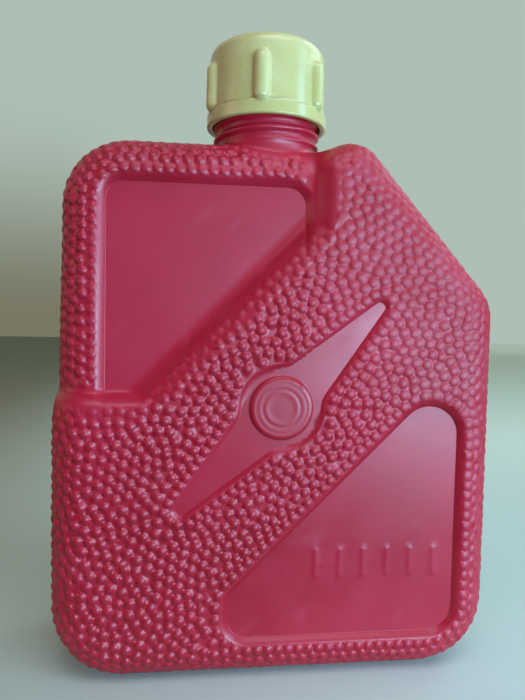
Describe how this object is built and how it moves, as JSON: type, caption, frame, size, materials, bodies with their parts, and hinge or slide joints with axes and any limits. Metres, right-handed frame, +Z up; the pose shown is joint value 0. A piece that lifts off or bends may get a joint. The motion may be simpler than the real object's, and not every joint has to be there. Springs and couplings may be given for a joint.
{
  "type": "plastic can",
  "caption": "Small flat plastic can with a studded grip surface, smooth recessed panels, a long threaded neck and a ribbed screw cap.",
  "frame": {"origin": "centre of the base, on the surface that the can stands on", "axes": "+Z up, the longest side, with the can standing upright; the front face looks towards -Y, through the shortest side; +X runs to the right seen from the front, towards the side with the horn"},
  "size_m": [0.149, 0.0506, 0.2145],
  "materials": {
    "red_plastic": "satin, lightly scuffed blow-moulded polyethylene",
    "cream_plastic": "satin, yellowed with age",
    "white_foam": "matt closed-cell foam"
  },
  "bodies": {
    "can": {"can_body": "red_plastic"},
    "liner": {"cap_liner": "white_foam"},
    "cap": {"screw_cap": "cream_plastic"}
  },
  "joints": [
    {"name": "cap_lift", "type": "slide", "parent": "can", "child": "liner", "axis": [0, 0, 1], "range_m": [0, 0.0256]},
    {"name": "cap_turn", "type": "hinge", "parent": "liner", "child": "cap", "pos_m": [-0.004, 0, 0.2], "axis": [0, 0, 1], "range_deg": [0, 2160]}
  ],
  "couplings": [
    {"joint": "cap_lift", "follows": "cap_turn", "m_per_rad": 0.00067323}
  ]
}
